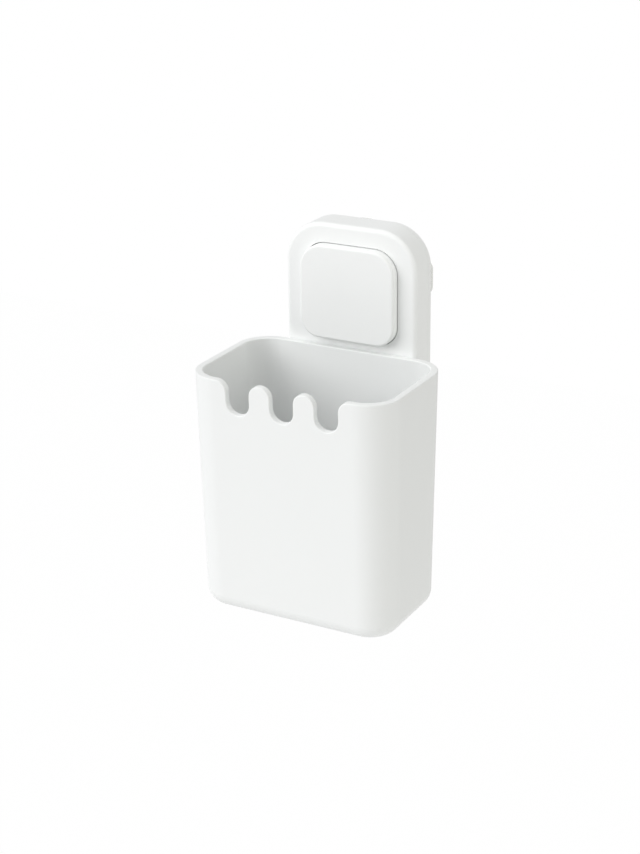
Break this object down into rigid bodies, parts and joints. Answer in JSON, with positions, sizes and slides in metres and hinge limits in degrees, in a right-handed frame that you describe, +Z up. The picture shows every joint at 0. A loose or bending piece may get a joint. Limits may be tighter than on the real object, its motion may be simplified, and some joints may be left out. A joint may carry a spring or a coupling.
{
  "type": "toothbrush holder",
  "caption": "Tapered open cup with brush slots in its front rim, hung from an arched suction unit that a push button fixes to a wall.",
  "frame": {"origin": "on the wall plane, on the axis of the push button and the suction pad behind it", "axes": "+X to the right, +Y into the wall, +Z up; the cup stands off the wall towards -Y"},
  "size_m": [0.088, 0.072, 0.1502],
  "materials": {
    "shell_white": "fine satin moulded plastic, cool white",
    "button_white": "fine satin moulded plastic, white",
    "inner_white": "plain moulded acetal, off-white",
    "steel": "bright stainless",
    "clear_elastomer": "glossy, translucent soft elastomer",
    "grey_elastomer": "matt soft elastomer"
  },
  "bodies": {
    "holder": {"cup": "shell_white", "arch_cover": "shell_white", "rear_housing": "shell_white", "suction_pad": "clear_elastomer", "return_spring": "steel", "cover_screw_upper_left": "steel", "cover_screw_upper_right": "steel", "cover_screw_lower_left": "steel", "cover_screw_lower_right": "steel", "cup_screw_left": "steel", "cup_screw_right": "steel", "bumper_left": "grey_elastomer", "bumper_right": "grey_elastomer"},
    "button": {"button_cap": "button_white", "button_carrier": "inner_white", "pull_stem": "inner_white", "stem_screw": "steel"}
  },
  "joints": [
    {"name": "button_press", "type": "slide", "parent": "holder", "child": "button", "axis": [0, 1, 0], "range_m": [0, 0.0028], "stiffness_N_per_m": 400, "springref_m": -0.002, "deforming": ["suction_pad", "return_spring"]}
  ]
}
